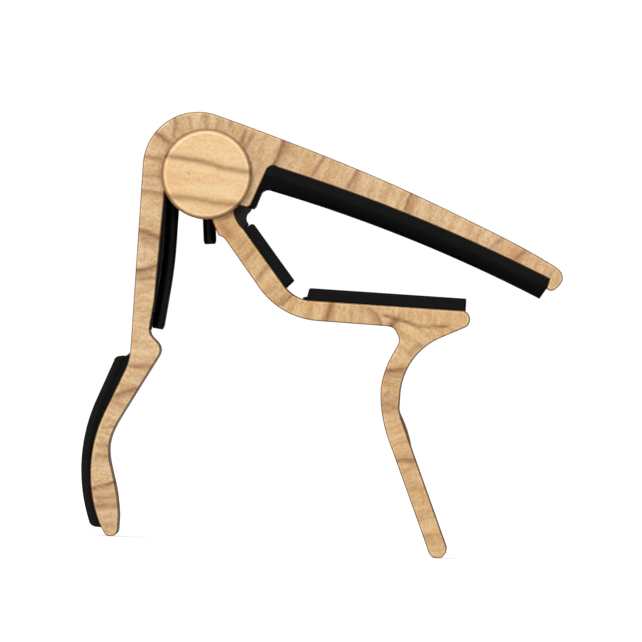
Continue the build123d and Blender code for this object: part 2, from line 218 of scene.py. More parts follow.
def srgb(red, green, blue):
    """A linear colour from the usual 0 to 255 values."""
    values = []
    for part in (red, green, blue):
        share = part / 255
        values.append(share / 12.92 if share <= 0.04045 else ((share + 0.055) / 1.055) ** 2.4)
    return tuple(values)


# ---------------------------------------------------------------- settings
def length(name, description, default):
    """A setting in metres, from a default in millimetres."""
    return FloatProperty(name=name, description=description, default=default * MM, subtype="DISTANCE")


def tint(name, description, default):
    """A colour setting."""
    return FloatVectorProperty(
        name=name, description=description, default=default, size=3, subtype="COLOR", min=0, max=1
    )


def brightness(name, description, default):
    """A setting for how strong a light is."""
    return FloatProperty(name=name, description=description, default=default, min=0)


class CapoPrintSettings(bpy.types.PropertyGroup):
    """Sizes and colours of the wood print on the levers and caps."""

    edge_radius: length("Edge radius", "Rounding along the levers' outlines", 0.45)
    cell: length("Cell", "Spacing of the points that carry the wood figure", 0.45)
    light: tint("Light wood", "Pale bands of the levers", srgb(243, 211, 167))
    tan: tint("Tan wood", "Darker bands of the levers", srgb(208, 164, 114))
    streak: tint("Streaks", "Dark growth lines", srgb(150, 95, 56))
    cap_light: tint("Cap light", "Pale bands of the caps", srgb(255, 224, 173))
    cap_tan: tint("Cap tan", "Darker bands of the caps", srgb(242, 198, 143))
    # painted shade: how dark the print is made on the narrow walls, standing for the shade that falls
    # there
    painted_wall_shade: FloatProperty(
        name="Wall shade", description="Tone of the print on the narrow walls", default=0.28, min=0, max=1
    )


class CapoPadSettings(bpy.types.PropertyGroup):
    """Sizes and colours of the soft black pieces."""

    edge_radius: length("Edge radius", "Rounding of the pads' short edges", 0.3)
    string_radius: length("String edge radius", "Rounding along the string pad's lower edges", 2.0)
    cell: length("Cell", "Spacing of the points that carry the pads' shading", 0.5)
    seat: length("Seat", "How far the bumper presses up to its stop", 0.1)
    black: tint("Silicone", "Colour of the silicone", (0.0036, 0.0037, 0.0035))
    charcoal: tint("Bumper", "Colour of the rubber bumper", (0.0135, 0.0105, 0.0085))


class CapoSpringSettings(bpy.types.PropertyGroup):
    """Sizes of the wound spring."""

    wire_radius: length("Wire radius", "Radius of the spring wire", 1.3)
    coil_radius: length("Coil radius", "Radius to the middle of the wire", 6.4)
    sides: IntProperty(name="Sides", description="Facets round the wire", default=40, min=8, max=96)


class CapoStageSettings(bpy.types.PropertyGroup):
    """Floor, lights and camera."""

    floor_radius: length("Floor radius", "Radius of the pale floor", 3000.0)
    key: brightness("Key light", "Soft light from the upper left", 1.82)
    fill: brightness("Fill light", "Soft light from the right", 0.6)
    top: brightness("Top light", "Soft light from above", 0.9)
    ambient: brightness("Ambient", "Brightness of the surroundings", 0.3)


# ---------------------------------------------------------------- small helpers
def put(tree, kind, inputs=None, **settings):
    """A new node; each input is a value or the socket that feeds it."""
    node = tree.nodes.new(kind)
    for key, value in settings.items():
        setattr(node, key, value)
    for key, value in (inputs or {}).items():
        if isinstance(value, bpy.types.NodeSocket):
            tree.links.new(value, node.inputs[key])
        else:
            node.inputs[key].default_value = value
    return node


def maths(tree, operation, *values, clamp=False):
    """The result of one math node."""
    inputs = dict(enumerate(values))
    return put(tree, "ShaderNodeMath", inputs, operation=operation, use_clamp=clamp).outputs[0]


def weighted_sum(tree, *pairs):
    """The sum of some values, each times its own weight."""
    parts = [maths(tree, "MULTIPLY", value, weight) for value, weight in pairs]
    total = parts[0]
    for part in parts[1:]:
        total = maths(tree, "ADD", total, part)
    return total


def stretch(tree, vector, scale):
    """A vector scaled axis by axis."""
    return put(tree, "ShaderNodeMapping", {"Vector": vector, "Scale": scale}).outputs[0]


def cloud(tree, vector, detail=4.0, roughness=0.55, scale=1.0):
    """Smooth noise from 0 to 1."""
    inputs = {"Vector": vector, "Scale": scale, "Detail": detail, "Roughness": roughness}
    return put(tree, "ShaderNodeTexNoise", inputs).outputs["Fac"]


def blend_colours(tree, factor, first, second, mode="MIX"):
    """One colour laid over another."""
    node = put(tree, "ShaderNodeMix", {0: factor}, data_type="RGBA", blend_type=mode, clamp_factor=True)
    for index, value in ((6, first), (7, second)):
        if isinstance(value, bpy.types.NodeSocket):
            tree.links.new(value, node.inputs[index])
        else:
            node.inputs[index].default_value = (*value, 1.0)
    return node.outputs[2]


def band(tree, value, low, high, to_low=0.0, to_high=1.0):
    """A value mapped smoothly from one range to another, and held at its ends."""
    inputs = {"Value": value, "From Min": low, "From Max": high, "To Min": to_low, "To Max": to_high}
    return put(tree, "ShaderNodeMapRange", inputs, interpolation_type="SMOOTHSTEP").outputs[0]


def new_material(name):
    """A new material, its tree, its surface shader and the piece's coordinates in millimetres."""
    material = bpy.data.materials.new(name)
    material.use_nodes = True
    tree = material.node_tree
    shader = tree.nodes["Principled BSDF"]
    place = put(tree, "ShaderNodeTexCoord").outputs["Object"]
    return material, tree, shader, stretch(tree, place, (1 / MM,) * 3)


def attribute_socket(tree, name, kind="Fac"):
    """A value that the mesh carries at its points."""
    return put(tree, "ShaderNodeAttribute", attribute_name=name).outputs[kind]


def surface(tree, shader, base, roughness, specular=0.5):
    """Joins a colour and a roughness to the surface shader."""
    tree.links.new(base, shader.inputs["Base Color"])
    tree.links.new(roughness, shader.inputs["Roughness"])
    shader.inputs["Specular IOR Level"].default_value = specular


def bump(tree, shader, height, depth):
    """Relief of a real depth, in millimetres."""
    node = put(tree, "ShaderNodeBump", {"Height": height, "Distance": depth * MM, "Strength": 1.0})
    tree.links.new(node.outputs[0], shader.inputs["Normal"])


def mesh_of(name, shape):
    """A new mesh made from an edited shape, which is freed."""
    mesh = bpy.data.meshes.new(name)
    shape.to_mesh(mesh)
    shape.free()
    return mesh


def new_object(name, mesh, material):
    """An object at the origin that holds a finished mesh."""
    piece = bpy.data.objects.new(name, mesh)
    bpy.context.scene.collection.objects.link(piece)
    mesh.materials.clear()
    mesh.materials.append(material)
    return piece


def cad_copy(node):
    """A CAD node's mesh with its triangles merged into whole faces."""
    shape = bmesh.new()
    shape.from_mesh(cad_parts[node].data)
    bmesh.ops.remove_doubles(shape, verts=shape.verts, dist=WELD * MM)
    bmesh.ops.dissolve_limit(shape, angle_limit=radians(0.02), verts=shape.verts, edges=shape.edges)
    return shape


def cut_into_cells(shape, cell):
    """Cuts a shape's faces along an even grid, so that its points can carry fine detail."""
    bmesh.ops.triangulate(shape, faces=shape.faces[:])
    for axis in (0, 2):
        spans = [point.co[axis] for point in shape.verts]
        normal = Vector((axis == 0, 0, axis == 2))
        for step in range(1, int((max(spans) - min(spans)) / cell)):
            spot = Vector((0, 0, 0))
            spot[axis] = min(spans) + step * cell
            bmesh.ops.bisect_plane(
                shape, geom=shape.verts[:] + shape.edges[:] + shape.faces[:], dist=WELD * MM,
                plane_co=spot, plane_no=normal,
            )


def smooth(mesh, angle):
    """Smooth shading that breaks at edges sharper than an angle in degrees."""
    mesh.shade_smooth()
    mesh.set_sharp_from_angle(angle=radians(angle))


def points_of(mesh):
    """The mesh's points in millimetres from the pivot."""
    flat = np.zeros(len(mesh.vertices) * 3)
    mesh.vertices.foreach_get("co", flat)
    return (flat.reshape(-1, 3) - np.array(PIVOT)) / MM


def carry(mesh, name, values):
    """Stores a number or a vector at each point of a mesh."""
    values = np.asarray(values, np.float32)
    kind, key = ("FLOAT", "value") if values.ndim == 1 else ("FLOAT_VECTOR", "vector")
    mesh.attributes.new(name, kind, "POINT").data.foreach_set(key, values.ravel())


# ---------------------------------------------------------------- wood figure
WOBBLE_SPACING = 1.8
STREAK_GAIN = 1.15
TAIL_SHARE = 0.55
# Painted light across the rounded edge, from the flat face at 0 to the wall at 1: a painted
# highlight line where the rounding begins, then painted shade towards the wall, where the
# wall shade of the settings ends the curve.
RIM_PAINTED_LIGHT = ((0.0, 0.89), (0.08, 1.0), (0.36, 1.0), (0.6, 0.55))
SHADE_WARMTH = 0.12
PORE_STRENGTH = 0.16


def rounded(path):
    """An open path with its corners cut smooth, in three passes."""
    path = np.array(path, float)
    for _ in range(3):
        near = 0.75 * path[:-1] + 0.25 * path[1:]
        far = 0.25 * path[:-1] + 0.75 * path[1:]
        cut = np.stack((near, far), axis=1).reshape(-1, 2)
        path = np.vstack((path[:1], cut, path[-1:]))
    return path


def follow(path, points, open_ends=True):
    """For each point, the distance along a path and the signed distance to the path's left."""
    reach = np.full(len(points), np.inf)
    along = np.zeros(len(points))
    aside = np.zeros(len(points))
    start = 0.0
    last = len(path) - 2
    for index in range(len(path) - 1):
        step = path[index + 1] - path[index]
        length = np.hypot(*step)
        if length < 1e-9:
            continue
        offset = points - path[index]
        share = offset @ step / length**2
        low = -np.inf if open_ends and index == 0 else 0
        high = np.inf if open_ends and index == last else 1
        held = np.clip(share, low, high)
        gap = offset - held[:, None] * step
        distance = np.hypot(gap[:, 0], gap[:, 1])
        closer = distance < reach
        side = np.sign(step[0] * offset[:, 1] - step[1] * offset[:, 0])
        reach = np.where(closer, distance, reach)
        along = np.where(closer, start + held * length, along)
        aside = np.where(closer, side * distance, aside)
        start += length
    return along, aside


def wobbled(points, size, spacing, seed):
    """Points moved a little, so that what is drawn through them looks grown."""
    moved = points.copy()
    for row, (x, z) in enumerate(points):
        shift = noise.noise_vector(Vector((x / spacing, z / spacing, seed)))
        moved[row] += (shift.x * size, shift.y * size)
    return moved


def figure_of(points, streaks, seed, wobble=0.13, softness=1.0):
    """How dark the print's figure is at each point, from 0 to 1.

    A streak darkens its core on both sides of its line, and fades out to the left of it only.
    """
    points = wobbled(points, wobble, WOBBLE_SPACING, seed)
    clear = np.ones(len(points))
    for path, core, fade, strength in streaks:
        _, aside = follow(np.array(path, float), points, open_ends=False)
        dark = np.exp(-((aside / (softness * (STREAK_GAIN * core + 0.08))) ** 2))
        tail = TAIL_SHARE * np.exp(-((aside / (STREAK_GAIN * fade)) ** 2)) * (aside > 0)
        clear *= 1 - min(STREAK_GAIN * strength, 1) * np.maximum(dark, tail)
    return 1 - clear


def wood_print(name, light, tan, streak, painted_wall_shade):
    """Printed maple under a satin lacquer: grain, growth bands and pores, with a painted highlight
    line along the rounded edges and painted shade on the walls.
    """
    material, tree, shader, place = new_material(name)
    grain = attribute_socket(tree, "grain", "Vector")
    figure = attribute_socket(tree, "figure")
    rim = attribute_socket(tree, "rim")
    fibre = cloud(tree, stretch(tree, grain, (1.7, 0.6, 0.6)), detail=7, roughness=0.7)
    growth = cloud(tree, stretch(tree, grain, (0.5, 0.09, 0.09)), detail=4)
    mottle = cloud(tree, place, detail=5, roughness=0.8, scale=1.8)
    drift = cloud(tree, place, detail=2, scale=0.09)
    pores = band(tree, cloud(tree, stretch(tree, grain, (7.0, 1.1, 1.1)), detail=2), 0.62, 0.74)
    tone = weighted_sum(tree, (fibre, 0.55), (growth, 0.6), (mottle, 0.8))
    colour = blend_colours(tree, band(tree, tone, 0.8, 1.16), light, tan)
    warm = tuple(a * b for a, b in zip(tan, (1.06, 0.86, 0.72)))
    colour = blend_colours(tree, band(tree, drift, 0.5, 0.78, 0, 0.45), colour, warm)
    dark = maths(tree, "MULTIPLY", figure, band(tree, fibre, 0.2, 0.8, 0.8, 1.1), clamp=True)
    colour = blend_colours(tree, dark, colour, streak)
    colour = blend_colours(tree, maths(tree, "MULTIPLY", pores, PORE_STRENGTH), colour, streak)
    # painted light and shade across the rounded edges: by the rim attribute the print gets a painted
    # highlight line where the rounding begins and painted shade, a little warmer, towards the walls
    ramp = put(tree, "ShaderNodeFloatCurve", {"Value": rim})
    curve = ramp.mapping.curves[0]
    curve.points[0].location = RIM_PAINTED_LIGHT[0]
    curve.points[1].location = (1.0, painted_wall_shade)
    for spot in RIM_PAINTED_LIGHT[1:]:
        curve.points.new(*spot)
    ramp.mapping.update()
    warm_shade = {
        index: maths(tree, "POWER", ramp.outputs[0], 1 + SHADE_WARMTH * index) for index in range(3)
    }
    shade = put(tree, "ShaderNodeCombineColor", warm_shade).outputs[0]
    colour = blend_colours(tree, 1.0, colour, shade, mode="MULTIPLY")
    surface(tree, shader, colour, band(tree, mottle, 0.25, 0.75, 0.4, 0.54), specular=0.35)
    bump(tree, shader, weighted_sum(tree, (fibre, 0.5), (mottle, 0.5)), 0.02)
    return material


# ---------------------------------------------------------------- finishes
def silicone(name, colour):
    """Black moulded silicone: slight bloom, fine moulded texture, a few pale specks, and painted
    shade where the mesh's 'shade' attribute is high.
    """
    material, tree, shader, place = new_material(name)
    shade = attribute_socket(tree, "shade")
    bloom = cloud(tree, place, detail=4, scale=0.35)
    skin = cloud(tree, place, detail=3, roughness=0.7, scale=5.0)
    specks = band(tree, cloud(tree, place, detail=1, scale=2.3), 0.72, 0.8)
    deep, pale, speck = (tuple(part * share for part in colour) for share in (0.1, 1.5, 4.0))
    base = blend_colours(tree, band(tree, bloom, 0.3, 0.7), colour, pale)
    # painted shade: the colour darkens towards a tenth of itself where the 'shade' attribute is high
    base = blend_colours(tree, shade, base, deep)
    base = blend_colours(tree, maths(tree, "MULTIPLY", specks, 0.25), base, speck)
    surface(tree, shader, base, band(tree, bloom, 0.25, 0.75, 0.5, 0.66), specular=0.08)
    bump(tree, shader, skin, 0.03)
    return material


def spring_finish(name):
    """Black-coated spring steel with faint drawing lines along the wire."""
    material, tree, shader, place = new_material(name)
    lines = cloud(tree, stretch(tree, place, (6.0, 6.0, 0.4)), detail=4, roughness=0.7)
    patches = cloud(tree, place, detail=3, scale=0.5)
    base = blend_colours(tree, patches, (0.001, 0.001, 0.0015), (0.003, 0.003, 0.0042))
    surface(tree, shader, base, band(tree, patches, 0.2, 0.8, 0.07, 0.11), specular=0.18)
    bump(tree, shader, lines, 0.012)
    return material


def plastic(name, first, second, roughness, grain_scale, depth, specular=0.5):
    """Moulded plastic or foam with a soft mottle and a fine skin."""
    material, tree, shader, place = new_material(name)
    mottle = cloud(tree, place, detail=4, scale=0.8)
    skin = cloud(tree, place, detail=3, roughness=0.65, scale=grain_scale)
    base = blend_colours(tree, mottle, first, second)
    surface(tree, shader, base, band(tree, skin, 0.2, 0.8, roughness - 0.08, roughness + 0.08), specular)
    bump(tree, shader, skin, depth)
    return material


def turned_steel(name):
    """Turned steel: rings round the pin and faint patches of tone."""
    material, tree, shader, place = new_material(name)
    axis = tuple(-part / MM for part in PIVOT)
    centred = put(tree, "ShaderNodeVectorMath", {0: place, 1: axis}, operation="ADD").outputs[0]
    parts = put(tree, "ShaderNodeSeparateXYZ", {0: centred}).outputs
    flat = put(tree, "ShaderNodeCombineXYZ", {0: parts[0], 1: parts[2]}).outputs[0]
    radius = put(tree, "ShaderNodeVectorMath", {0: flat}, operation="LENGTH").outputs["Value"]
    inputs = {"W": radius, "Scale": 9.0, "Detail": 3.0}
    rings = put(tree, "ShaderNodeTexNoise", inputs, noise_dimensions="1D").outputs["Fac"]
    patches = cloud(tree, place, detail=4, scale=1.2)
    base = blend_colours(tree, patches, (0.33, 0.33, 0.34), (0.52, 0.52, 0.53))
    surface(tree, shader, base, band(tree, rings, 0.2, 0.8, 0.22, 0.42))
    shader.inputs["Metallic"].default_value = 1.0
    bump(tree, shader, rings, 0.006)
    return material


# ---------------------------------------------------------------- levers and caps
def lever_mesh(node, settings):
    """A lever with rounded outlines, its faces cut into small cells that can carry the figure."""
    shape = cad_copy(node)
    half = max(abs(point.co.y) for point in shape.verts)
    edges = []
    for edge in shape.edges:
        if len(edge.link_faces) != 2 or any(half - abs(end.co.y) > LEVEL * MM for end in edge.verts):
            continue
        facing = sorted(abs(face.normal.y) for face in edge.link_faces)
        middle = (edge.verts[0].co + edge.verts[1].co) / 2
        clear_of_bore = Vector((middle.x - PIVOT.x, middle.z - PIVOT.z)).length > BORE_RADIUS * MM
        if facing[0] < 0.1 and facing[1] > 0.99 and clear_of_bore:
            edges.append(edge)
    bmesh.ops.bevel(
        shape, geom=edges, offset=settings.edge_radius, segments=3, profile=0.5, affect="EDGES",
        clamp_overlap=False,
    )
    cut_into_cells(shape, settings.cell)
    mesh = mesh_of(node + "_print", shape)
    smooth(mesh, PRINT_CREASE)
    return mesh, half


def on_leg(points):
    """True for the points of the neck lever below the seam in its print."""
    seam = np.array(LEG_SEAM)
    left = np.array(LEG_SEAM_LEFT)
    below = points[:, 1] < np.interp(points[:, 0], seam[:, 0], seam[:, 1])
    right = points[:, 0] > np.interp(points[:, 1], left[:, 0], left[:, 1])
    return below & right


class CAPO_OT_levers(bpy.types.Operator):
    """Rounds the two levers and lays the wood print over them"""

    bl_idname = "capo.levers"
    bl_label = "Levers"

    def execute(self, context):
        settings = context.scene.capo_print
        for node, streaks, seed, warmth in (
            (STRING_BODY, STRING_LEVER_FIGURE, 3.0, (1.0, 1.0, 1.0)),
            (NECK_BODY, NECK_LEVER_FIGURE, 8.0, (1.0, 0.97, 0.88)),
        ):
            light = tuple(part * share for part, share in zip(settings.light, warmth))
            tan = tuple(part * share for part, share in zip(settings.tan, warmth))
            finish = wood_print(node + "_finish", light, tan, tuple(settings.streak), settings.painted_wall_shade)
            mesh, half = lever_mesh(node, settings)
            points = points_of(mesh)
            flat = points[:, (0, 2)]
            if node == STRING_BODY:
                along, aside = follow(rounded(STRING_LEVER_PATH), flat)
            else:
                along, aside = follow(rounded(NECK_SPINE_PATH), flat)
                leg_along, leg_aside = follow(rounded(NECK_LEG_PATH), flat)
                leg = on_leg(flat)
                along = np.where(leg, leg_along + LEG_GRAIN_START, along)
                aside = np.where(leg, leg_aside, aside)
            carry(mesh, "grain", np.stack((along, aside, points[:, 1]), axis=1))
            carry(mesh, "figure", figure_of(flat, streaks, seed))
            # how far round the rounded edge each point lies, which sets the painted edge highlight and
            # painted wall shade
            depth = np.clip((half / MM - np.abs(points[:, 1])) / (settings.edge_radius / MM), 0, 1)
            carry(mesh, "rim", np.sqrt(1 - (1 - depth) ** 2))
            piece = new_object(node + "_print", mesh, finish)
            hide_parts(node)
            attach(piece, node)
        return {"FINISHED"}


def cap_profile(radius, inner, outer):
    """Rings of a cap from its middle round the rim into the recess: radius, height, and how far round
    the rim the ring lies, which sets the rim's painted highlight and painted shade.
    """
    face_rings = np.arange(CAP_RING_STEP, radius - CAP_RIM - 0.1, CAP_RING_STEP)
    profile = [(reach, outer, 0.0) for reach in face_rings]
    for step in range(7):
        turn = radians(15 * step)
        profile.append((radius - CAP_RIM * (1 - sin(turn)), outer - CAP_RIM * (1 - cos(turn)), sin(turn)))
    recess = inner + CAP_RECESS_DEPTH
    return profile + [
        (radius, inner + CAP_CHAMFER, 1.0), (radius - CAP_CHAMFER, inner, 1.0),
        (CAP_RECESS_RADIUS, inner, 1.0), (CAP_RECESS_RADIUS, recess, 1.0), (CAP_HUB_RADIUS, recess, 1.0),
    ]


def turned_mesh(name, profile, side):
    """A closed mesh turned about the pivot's axis; its last two points are the hubs."""
    shape = bmesh.new()
    rings = []
    for reach, height, _ in profile:
        ring = []
        for index in range(CAP_SIDES):
            turn = 2 * pi * index / CAP_SIDES
            spot = Vector((reach * cos(turn), side * height, reach * sin(turn)))
            ring.append(shape.verts.new(PIVOT + spot * MM))
        rings.append(ring)
    for first, second in zip(rings, rings[1:]):
        for index in range(CAP_SIDES):
            after = (index + 1) % CAP_SIDES
            shape.faces.new((first[index], first[after], second[after], second[index]))
    for ring, (_, height, _) in ((rings[0], profile[0]), (rings[-1], profile[-1])):
        hub = shape.verts.new(PIVOT + Vector((0, side * height, 0)) * MM)
        for index in range(CAP_SIDES):
            shape.faces.new((hub, ring[index], ring[(index + 1) % CAP_SIDES]))
    bmesh.ops.recalc_face_normals(shape, faces=shape.faces[:])
    return mesh_of(name, shape)


class CAPO_OT_caps(bpy.types.Operator):
    """Turns the two round caps with their rounded rims and their own print"""

    bl_idname = "capo.caps"
    bl_label = "Caps"

    def execute(self, context):
        settings = context.scene.capo_print
        finish = wood_print(
            "cap_print", tuple(settings.cap_light), tuple(settings.cap_tan), tuple(settings.streak),
            settings.painted_wall_shade,
        )
        for side, node in ((-1, "front_cap"), (1, "rear_cap")):
            low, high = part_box(node)
            inner, outer = sorted((abs(low.y) / MM, abs(high.y) / MM))
            profile = cap_profile((high.x - low.x) / 2 / MM, inner, outer)
            mesh = turned_mesh(node + "_print", profile, side)
            smooth(mesh, PRINT_CREASE)
            points = points_of(mesh)
            flat = points[:, (0, 2)]
            across = flat[:, 1] * cos(CAP_GRAIN_TILT) - flat[:, 0] * sin(CAP_GRAIN_TILT)
            with_grain = flat[:, 0] * cos(CAP_GRAIN_TILT) + flat[:, 1] * sin(CAP_GRAIN_TILT)
            carry(mesh, "grain", np.stack((across + 200 + 20 * side, with_grain, points[:, 1]), axis=1))
            if side > 0:
                flat = flat * (-1, 1)
            carry(mesh, "figure", figure_of(flat, CAP_FIGURE, 5.0 + side, wobble=0.05, softness=1.2))
            # how far round the rim each point lies, which sets the painted highlight and painted shade of
            # the rim; the recess counts as wall
            hubs = [0.0, 1.0]
            carry(mesh, "rim", [tone for _, _, tone in profile for _ in range(CAP_SIDES)] + hubs)
            piece = new_object(node + "_print", mesh, finish)
            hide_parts(node)
            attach(piece, STRING_BODY)
        return {"FINISHED"}


# ---------------------------------------------------------------- soft pieces
def on_side(edge):
    """True for an edge of the outline of one of a piece's two side faces."""
    ends = [point.co.y for point in edge.verts]
    level = abs(ends[0] - ends[1]) < LEVEL * MM and abs(ends[0]) > 8 * MM
    return level and len(edge.link_faces) == 2 and edge.calc_face_angle() > radians(25)


def rounded_piece(node, name, finish, width_of, cell):
    """A copy of a CAD solid with the outlines of its two sides rounded, cut into small cells."""
    shape = cad_copy(node)
    weights = shape.edges.layers.float.new("bevel_weight_edge")
    widths = {edge: width_of(edge) for edge in shape.edges if on_side(edge)}
    largest = max(widths.values())
    for edge, width in widths.items():
        edge[weights] = width / largest
    mesh = mesh_of(name + "_blank", shape)
    blank = new_object(name, mesh, finish)
    modifier = blank.modifiers.new("Rounding", "BEVEL")
    modifier.limit_method = "WEIGHT"
    modifier.width = largest
    modifier.segments = 5
    modifier.use_clamp_overlap = False
    modifier.loop_slide = True
    bpy.context.view_layer.update()
    depsgraph = bpy.context.evaluated_depsgraph_get()
    finished = bpy.data.meshes.new_from_object(blank.evaluated_get(depsgraph))
    blank.modifiers.clear()
    blank.data = finished
    bpy.data.meshes.remove(mesh)
    shape = bmesh.new()
    shape.from_mesh(finished)
    cut_into_cells(shape, cell)
    shape.to_mesh(finished)
    shape.free()
    smooth(finished, PAD_CREASE)
    return blank


def arc_height(spots, across):
    """Heights of the circle through three points."""
    first, second, third = (complex(*spot) for spot in spots)
    turned = (third - first) / (second - first)
    centre = first + (second - first) * (turned - abs(turned) ** 2) / (turned - turned.conjugate())
    radius = abs(first - centre)
    rise = np.sqrt(np.maximum(radius**2 - (across - centre.real) ** 2, 0))
    return centre.imag + np.sign(first.imag - centre.imag) * rise


def string_pad_depth(points):
    """How far each point of the string pad lies from the lever towards the strings, from 0 to 1."""
    high = arc_height(PAD_BACK, points[:, 0])
    low = arc_height(PAD_FACE, points[:, 0])
    return (high - points[:, 2]) / (high - low)


def seat_on_arc(mesh, points):
    """Sets the string pad's back on its true arc, so that no light shows between pad and lever."""
    back = arc_height(PAD_BACK, points[:, 0])
    within = (points[:, 0] > PAD_BACK[0][0]) & (points[:, 0] < PAD_BACK[-1][0] - LEVEL)
    for side in (-1, 1):
        shown = within & (side * points[:, 1] > 8)
        corners = points[shown & (np.abs(points[:, 2] - back) < 0.02)]
        corners = corners[np.argsort(corners[:, 0])]
        chord = np.interp(points[:, 0], corners[:, 0], corners[:, 2])
        share = np.clip(1 - (chord - points[:, 2]) / PAD_LIFT_DEPTH, 0, 1)
        lift = (back - chord + PAD_OVERLAP) * share * MM
        for index in np.flatnonzero(shown & (share > 0)):
            mesh.vertices[int(index)].co.z += lift[index]


def cushion_painted_light(points):
    """Painted light on the finger cushion, as how deep black it looks: a painted highlight leaves it
    paler along its rounded back, and a line of painted shade lies beside it in its upper part,
    standing for a narrow moulded channel that is not cut.
    """
    _, aside = follow(rounded(CUSHION_BACK), points[:, (0, 2)])
    inset = np.abs(aside)
    inside = np.clip((inset - 0.9) / 0.25, 0, 1) * 0.5
    painted_groove_shade = 0.5 * np.exp(-(((inset - 1.6) / 0.3) ** 2)) * (points[:, 2] > -62)
    return np.clip(inside + painted_groove_shade, 0, 1)


class CAPO_OT_pads(bpy.types.Operator):
    """Makes the silicone pads, the finger cushion and the closing bumper"""

    bl_idname = "capo.pads"
    bl_label = "Pads"

    def execute(self, context):
        settings = context.scene.capo_pads
        warm_black = tuple(part * share for part, share in zip(settings.black, (1.6, 1.5, 1.3)))
        black = silicone("pad_silicone_finish", tuple(settings.black))
        warm = silicone("grip_silicone_finish", warm_black)
        charcoal = silicone("bumper_rubber_finish", tuple(settings.charcoal))

        def string_pad_edge(edge):
            spots = np.array([(point.co - PIVOT) / MM for point in edge.verts])
            depth = string_pad_depth(spots)
            if (depth < 0.05).all() and spots[:, 0].min() > 12:
                return 0.0
            along_strings = (depth > 0.9).all() and spots[:, 0].min() > 12.9
            return settings.string_radius if along_strings else settings.edge_radius

        def plain_edge(edge):
            return settings.edge_radius

        def bumper_edge(edge):
            return BUMPER_EDGE * MM

        made = (
            ("string_pad", black, STRING_BODY, "pad_silicone", string_pad_edge),
            ("neck_rest_pad", black, NECK_BODY, "pad_silicone", plain_edge),
            ("neck_side_pad", black, NECK_BODY, "pad_silicone", plain_edge),
            ("grip_cushion", warm, STRING_BODY, "grip_silicone", plain_edge),
            ("closing_bumper", charcoal, NECK_BODY, "bumper_rubber", bumper_edge),
        )
        for node, finish, body, slot, width_of in made:
            piece = rounded_piece(node, node + "_moulded", finish, width_of, settings.cell)
            mesh = piece.data
            points = points_of(mesh)
            shade = np.zeros(len(points))
            if node == "string_pad":
                # painted shade on the string pad's lower part, which curves away under the light
                shade = np.clip((string_pad_depth(points) - 0.38) / 0.1, 0, 1)
                seat_on_arc(mesh, points)
            elif node == "grip_cushion":
                # painted highlight along the cushion's rounded back and a line of painted shade beside it
                shade = cushion_painted_light(points)
            elif node == "closing_bumper":
                raised = (points[:, 2] > -6.5) & (points[:, 0] > 6.5)
                for index in np.flatnonzero(raised):
                    mesh.vertices[int(index)].co.z += settings.seat
            carry(mesh, "shade", shade)
            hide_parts(node)
            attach(piece, body)
        return {"FINISHED"}


# ---------------------------------------------------------------- spring
def spring_path(coil_radius):
    """Points of the wire, in mm from the pivot: short leg, coil from rear to front, long leg."""
    radius = coil_radius / MM
    turn = radians(COIL_DEGREES)
    half_height = COIL_PITCH * COIL_DEGREES / 360 / 2
    path = []
    outward = Vector((cos(STUB_ANGLE), 0, sin(STUB_ANGLE)))
    sideways = Vector((-sin(STUB_ANGLE), 0, cos(STUB_ANGLE)))
    rear = Vector((0, half_height, 0))
    for reach in np.linspace(STUB_REACH, radius + STUB_BEND, 12):
        path.append(outward * reach + rear)
    centre = outward * (radius + STUB_BEND) + sideways * STUB_BEND
    for step in range(1, 9):
        angle = radians(90) * step / 8
        path.append(centre - sideways * STUB_BEND * cos(angle) - outward * STUB_BEND * sin(angle) + rear)
    begin = STUB_ANGLE + atan2(STUB_BEND, radius) * 1.05
    for step in range(COIL_POINTS + 1):
        angle = begin + (STUB_ANGLE + turn - begin) * step / COIL_POINTS
        share = (angle - STUB_ANGLE) / turn
        height = half_height * (1 - 2 * share)
        path.append(Vector((radius * cos(angle), height, radius * sin(angle))))
    front = path[-1].y
    for drop in np.linspace(1.0, LEG_STRAIGHT, 14):
        path.append(Vector((-radius, front, -drop)))
    start = Vector((-radius, front, -LEG_STRAIGHT))
    lean = 2 * atan2(*LEG_BOW)
    arc_radius = Vector(LEG_BOW).length / 2 / sin(lean / 2)
    for step in range(1, 13):
        angle = lean * step / 12
        path.append(start + Vector((-arc_radius * (1 - cos(angle)), 0, -arc_radius * sin(angle))))
    tip = path[-1].copy()
    for run in np.linspace(0.8, LEG_END, 10):
        path.append(tip + Vector((-sin(lean), 0, -cos(lean))) * run)
    return path


def wire_tree(finish):
    """Geometry nodes that draw a round wire along a curve."""
    tree = bpy.data.node_groups.new("wire_along_path", "GeometryNodeTree")
    for name, kind in (
        ("Geometry", "NodeSocketGeometry"), ("Wire radius", "NodeSocketFloat"),
        ("Sides", "NodeSocketInt"), ("Point spacing", "NodeSocketFloat"),
    ):
        tree.interface.new_socket(name, in_out="INPUT", socket_type=kind)
    tree.interface.new_socket("Geometry", in_out="OUTPUT", socket_type="NodeSocketGeometry")
    given = put(tree, "NodeGroupInput").outputs
    even = put(
        tree, "GeometryNodeResampleCurve", {"Curve": given["Geometry"], "Length": given["Point spacing"]},
        mode="LENGTH",
    )
    round_wire = {"Resolution": given["Sides"], "Radius": given["Wire radius"]}
    ring = put(tree, "GeometryNodeCurvePrimitiveCircle", round_wire)
    tube = put(
        tree, "GeometryNodeCurveToMesh",
        {"Curve": even.outputs[0], "Profile Curve": ring.outputs[0], "Fill Caps": True},
    )
    if "Scale" in tube.inputs:
        tree.links.new(put(tree, "GeometryNodeInputRadius").outputs[0], tube.inputs["Scale"])
    plain = put(tree, "GeometryNodeRealizeInstances", {"Geometry": tube.outputs[0]})
    done = put(tree, "GeometryNodeSetMaterial", {"Geometry": plain.outputs[0], "Material": finish})
    put(tree, "NodeGroupOutput", {"Geometry": done.outputs[0]})
    return tree


